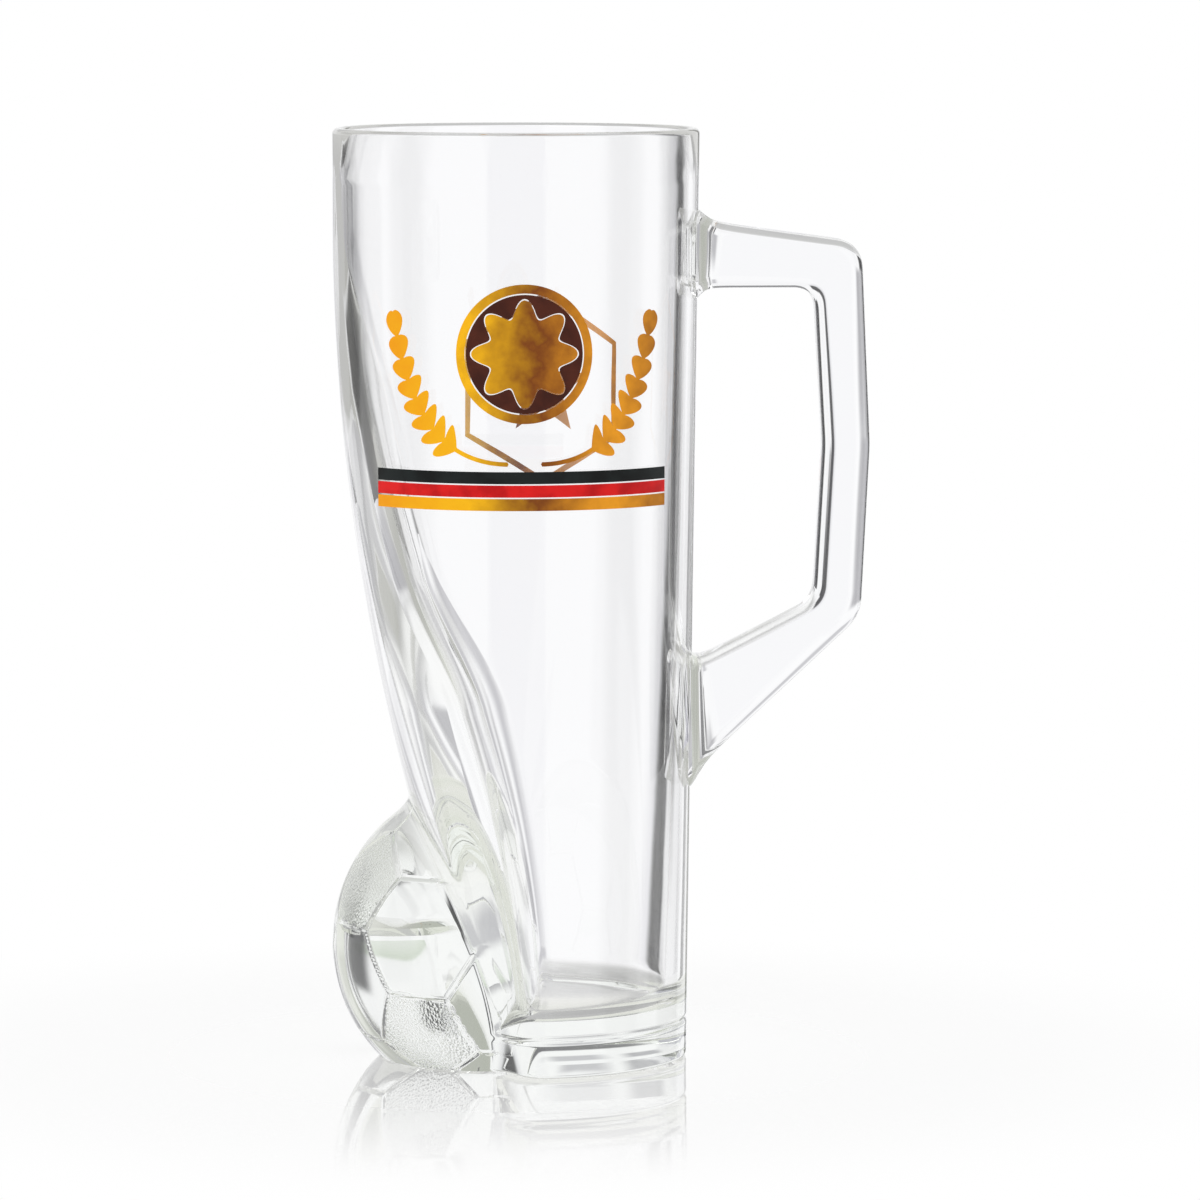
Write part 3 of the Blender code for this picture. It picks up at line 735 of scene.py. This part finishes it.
def floor_material():
    """White table: for the camera it has a soft shadow and a mirror image that fade away from the mug."""
    material = bpy.data.materials.new("pale floor")
    nodes = Nodes(material)
    place = nodes.add("ShaderNodeTexCoord").outputs["Object"]
    far = nodes.add("ShaderNodeVectorMath", {0: place}, operation="LENGTH").outputs["Value"]
    glass_ray, camera_ray = through_glass(nodes)
    white = nodes.add("ShaderNodeEmission", {"Color": WHITE}).outputs[0]
    matt = nodes.add("ShaderNodeBsdfDiffuse", {"Color": FLOOR_MATT}).outputs[0]
    polish = {"Color": WHITE, "Roughness": FLOOR_GLOSS_ROUGHNESS}
    mirror = nodes.add("ShaderNodeBsdfGlossy", polish).outputs[0]
    grazing = nodes.add("ShaderNodeLayerWeight", {"Blend": 0.5}).outputs["Facing"]
    ground = nodes.mix_shader(nodes.ramp(far, SHADOW_NEAR, SHADOW_FAR, SHADOW_SHARE, 0.0), white, matt)
    image = nodes.ramp(far, IMAGE_NEAR, IMAGE_FAR, IMAGE_SHARE, 0.0)
    gloss = nodes.math("MULTIPLY", image, nodes.ramp(grazing, IMAGE_START, IMAGE_FULL))
    ground = nodes.mix_shader(gloss, ground, mirror)
    lit = nodes.mix_shader(camera_ray, matt, ground)
    surface = nodes.mix_shader(glass_ray, lit, seen_floor(nodes, place, grazing))
    nodes.add("ShaderNodeOutputMaterial", {"Surface": surface})
    return material


def build_floor():
    turn = np.linspace(0.0, 2.0 * math.pi, FLOOR_POINTS, endpoint=False)
    level = np.full(FLOOR_POINTS, FLOOR_LEVEL)
    rim = np.stack((FLOOR_RADIUS * np.cos(turn), FLOOR_RADIUS * np.sin(turn), level), axis=1)
    floor = link("floor", rim, [range(FLOOR_POINTS)], [floor_material()])


def build_lights():
    lamp = bpy.data.lights.new("softbox", "AREA")
    lamp.shape = "RECTANGLE"
    lamp.size = LAMP_SIZE
    lamp.size_y = LAMP_SIZE
    lamp.energy = LAMP_POWER
    softbox = bpy.data.objects.new("softbox", lamp)
    softbox.location = LAMP_PLACE
    softbox.rotation_euler = (LAMP_AIM - LAMP_PLACE).to_track_quat("-Z", "Y").to_euler()
    bpy.context.scene.collection.objects.link(softbox)


# Fired-on print: thin films on the round wall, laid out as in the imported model
PRINT_LIFT = 0.00003
PRINT_THICKNESS = 0.00004
PRINT_GAP = 0.0003
PRINT_SHARP_ANGLE = 30.0
ROUNDEL_RADIUS = 0.0155
ROUNDEL_RING = 0.0020
ROSETTE_REACH = 0.0120
ROSETTE_WAVE = 0.0019
ROSETTE_PETALS = 8
ROUNDEL_DROP = 0.049
ROUNDEL_LEVEL = MUG_HEIGHT - ROUNDEL_DROP
EAR_SPREAD = 0.032
EAR_TIP_RISE = 0.009
EAR_DROP = 0.0245
EAR_FOOT = ROUNDEL_LEVEL - EAR_DROP
EAR_FOOT_SPREAD = 0.0036
EAR_STALK = 0.0005
EAR_HALF_WIDTH = 0.0042
EAR_KERNELS = 8
EAR_KNEE = 0.80
EAR_STALK_SHARE = 0.3
EAR_TAPER = 0.55
KERNEL_POWER = 0.7
KERNEL_LEAN = 0.5
KERNEL_STEPS = 16
SPINE_STEP = 1e-3
BAND_DROP = 0.0017
BAND_TOP = EAR_FOOT - BAND_DROP
BAND_HEIGHT = 0.0027
BAND_HALF_LENGTH = 0.037
BACK_DROP = 0.062
BACK_LEVEL = MUG_HEIGHT - BACK_DROP
BACK_RADIUS = 0.0225
BACK_LINE = 0.0014
CORNER_NUDGE = 1e-9
STAR_REACH = 0.01178
STAR_NOTCH = 0.42
FRONT_BEARING = -0.5 * math.pi
BACK_TURN = 0.21
BACK_BEARING = 0.5 * math.pi - BACK_TURN
RING_POINTS = 160
ROSETTE_POINTS = 192
ROSETTE_STEPS = 4
BACK_POINTS = 120
STAR_STEPS = 3
BAND_POINTS = 121


def film(name, layout, material, bearing):
    """Thin closed film over the round wall from a flat layout of (along, up) points."""
    points, faces = layout
    count = len(points)
    along, level = np.array(points).T
    angle = bearing + along / wall_radius(level)
    verts = []
    for lift in (PRINT_LIFT, PRINT_LIFT + PRINT_THICKNESS):
        radius = wall_radius(level) + lift
        verts.append(np.stack((radius * np.cos(angle), radius * np.sin(angle), level), axis=1))
    edges = {(a, face[(i + 1) % len(face)]) for face in faces for i, a in enumerate(face)}
    solid = [tuple(n + count for n in face) for face in faces] + [tuple(reversed(face)) for face in faces]
    solid += [(a, b, b + count, a + count) for a, b in sorted(edges) if (b, a) not in edges]
    piece = link(name + "_film", np.concatenate(verts), solid, [material], smooth_angle=PRINT_SHARP_ANGLE)
    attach(piece, "root")
    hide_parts(name)


def polar_layout(level, inner, outer, count, steps):
    """Ring between two outlines given by bearing; a full disc if there is no inner one."""
    points = []
    faces = []
    for k in range(steps + 1):
        for i in range(count):
            angle = 2.0 * math.pi * i / count
            low = inner(angle) if inner else outer(angle) / (steps + 1)
            reach = low + (outer(angle) - low) * k / steps
            points.append((reach * math.sin(angle), level + reach * math.cos(angle)))
    for k in range(steps):
        for i in range(count):
            j = (i + 1) % count
            faces.append((k * count + i, k * count + j, (k + 1) * count + j, (k + 1) * count + i))
    if not inner:
        points.append((0.0, level))
        faces.extend(((i + 1) % count, i, steps * count + count) for i in range(count))
    return points, faces


def strip_layout(lines):
    count = len(lines[0])
    points = [p for line in lines for p in line]
    faces = []
    for k in range(len(lines) - 1):
        for i in range(count - 1):
            a, b = k * count + i, (k + 1) * count + i
            faces.append((a, a + 1, b + 1, b))
    return points, faces


def rosette(angle):
    return ROSETTE_REACH - ROSETTE_WAVE * (1.0 - math.cos(ROSETTE_PETALS * angle))


def hexagon(angle):
    part = math.pi / 3.0
    return BACK_RADIUS * math.cos(0.5 * part) / math.cos((angle + CORNER_NUDGE) % part - 0.5 * part)


def star(angle):
    part = 2.0 * math.pi / 5.0
    bearing = abs((angle + 0.5 * part) % part - 0.5 * part)
    notch = STAR_NOTCH * STAR_REACH
    edge_x, edge_y = notch * math.cos(0.5 * part) - STAR_REACH, notch * math.sin(0.5 * part)
    return STAR_REACH * edge_y / (math.cos(bearing) * edge_y - math.sin(bearing) * edge_x)


def ear_layout(side):
    """Ear of barley: a bent stalk that swells into pointed kernels."""
    foot = np.array((side * EAR_FOOT_SPREAD, EAR_FOOT))
    knee = np.array((side * EAR_KNEE * EAR_SPREAD, EAR_FOOT))
    tip = np.array((side * EAR_SPREAD, ROUNDEL_LEVEL + EAR_TIP_RISE))
    steps = KERNEL_STEPS * EAR_KERNELS

    def spine(t):
        return foot * (1 - t) ** 2 + knee * (2 * t * (1 - t)) + tip * (t * t)

    lines = [[], [], []]
    for i in range(-KERNEL_STEPS, steps + 1):
        along = EAR_STALK_SHARE * (i + KERNEL_STEPS) / KERNEL_STEPS
        if i > 0:
            along = EAR_STALK_SHARE + (1.0 - EAR_STALK_SHARE) * i / steps
        taper = 1.0 - EAR_TAPER * (i / steps) ** 2
        swell = 0.0
        if 0 < i < steps:
            swell = taper * abs(math.sin(math.pi * i / KERNEL_STEPS)) ** KERNEL_POWER
        half = EAR_STALK + (EAR_HALF_WIDTH - EAR_STALK) * swell
        heading = spine(min(1.0, along + SPINE_STEP)) - spine(along - SPINE_STEP)
        heading /= np.linalg.norm(heading)
        normal = np.array((-heading[1], heading[0]))
        lean = heading * (KERNEL_LEAN * half)
        lines[0].append(spine(along) + lean - normal * half)
        lines[1].append(spine(along))
        lines[2].append(spine(along) + lean + normal * half)
    return strip_layout(lines)


def band_layout(low):
    spots = np.linspace(-BAND_HALF_LENGTH, BAND_HALF_LENGTH, BAND_POINTS)
    return strip_layout([[(u, z) for u in spots] for z in (low, low + BAND_HEIGHT)])


def build_prints():
    gold = gold_material()
    brown = enamel_material("brown print", *BROWN)
    black = enamel_material("black print", *BLACK)
    red = enamel_material("red print", *RED)
    inside = ROUNDEL_RADIUS - ROUNDEL_RING
    level = ROUNDEL_LEVEL

    def field_inside(angle):
        return rosette(angle) + PRINT_GAP

    ring_layout = polar_layout(level, lambda a: inside, lambda a: ROUNDEL_RADIUS, RING_POINTS, 1)
    field_layout = polar_layout(level, field_inside, lambda a: inside - PRINT_GAP, ROSETTE_POINTS, 1)
    rosette_layout = polar_layout(level, None, rosette, ROSETTE_POINTS, ROSETTE_STEPS)
    film("roundel_ring", ring_layout, gold, FRONT_BEARING)
    film("roundel_field", field_layout, brown, FRONT_BEARING)
    film("roundel_rosette", rosette_layout, gold, FRONT_BEARING)
    film("barley_ear_left", ear_layout(-1.0), gold, FRONT_BEARING)
    film("barley_ear_right", ear_layout(1.0), gold, FRONT_BEARING)
    for k, (name, material) in enumerate((("black_band", black), ("red_band", red), ("gold_band", gold))):
        low = BAND_TOP - BAND_HEIGHT - k * (BAND_HEIGHT + PRINT_GAP)
        film(name, band_layout(low), material, FRONT_BEARING)
    back_layout = polar_layout(BACK_LEVEL, lambda a: hexagon(a) - BACK_LINE, hexagon, BACK_POINTS, 1)
    film("back_hexagon", back_layout, gold, BACK_BEARING)
    film("back_star", polar_layout(BACK_LEVEL, None, star, BACK_POINTS, STAR_STEPS), gold, BACK_BEARING)


# Camera at the photograph's view
CAMERA_DISTANCE = 1.6
CAMERA_HEIGHT = 0.25934
CAMERA_TURN = math.radians(2.6)
CAMERA_AIM = Vector((0.01905, 0.0, 0.10425))
CAMERA_LENS = 211.3
CAMERA_SENSOR = 36.0
CAMERA_NEAR = 0.05


def build_camera():
    lens = bpy.data.cameras.new("camera")
    lens.lens = CAMERA_LENS
    lens.sensor_width = CAMERA_SENSOR
    lens.clip_start = CAMERA_NEAR
    camera = bpy.data.objects.new("camera", lens)
    side = -CAMERA_DISTANCE * math.sin(CAMERA_TURN)
    camera.location = (side, -CAMERA_DISTANCE * math.cos(CAMERA_TURN), CAMERA_HEIGHT)
    camera.rotation_euler = (CAMERA_AIM - camera.location).to_track_quat("-Z", "Y").to_euler()
    bpy.context.scene.collection.objects.link(camera)
    bpy.context.scene.camera = camera


def build_glass():
    """Vessel and football as one skin, fused with the handle into one closed mesh."""
    clear = glass_material("clear glass")
    stippled = glass_material("stippled glass", roughness=STIPPLE_ROUGHNESS, stipple=True)
    verts, faces, panel = vessel_mesh()
    glass = link("glass", verts, faces, [clear, stippled])
    glass.data.polygons.foreach_set("material_index", np.array(panel, np.int32))
    verts, faces = handle_mesh()
    bar = link("handle bar", verts, faces, [clear])
    union = glass.modifiers.new("fuse the handle", "BOOLEAN")
    union.operation = "UNION"
    union.solver = "MANIFOLD"
    union.object = bar
    bpy.context.view_layer.objects.active = glass
    bpy.ops.object.modifier_apply(modifier=union.name)
    bpy.data.objects.remove(bar)
    glass.data.shade_smooth()
    glass.data.set_sharp_from_angle(angle=math.radians(GLASS_SHARP_ANGLE))
    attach(glass, "root")
    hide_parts("vessel", "handle", "football")


scene = bpy.context.scene
scene.view_settings.view_transform = "Standard"
scene.cycles.max_bounces = GLASS_BOUNCES
scene.cycles.transmission_bounces = GLASS_BOUNCES
scene.cycles.glossy_bounces = GLASS_BOUNCES
build_world()
build_floor()
build_lights()
build_camera()
build_glass()
build_prints()
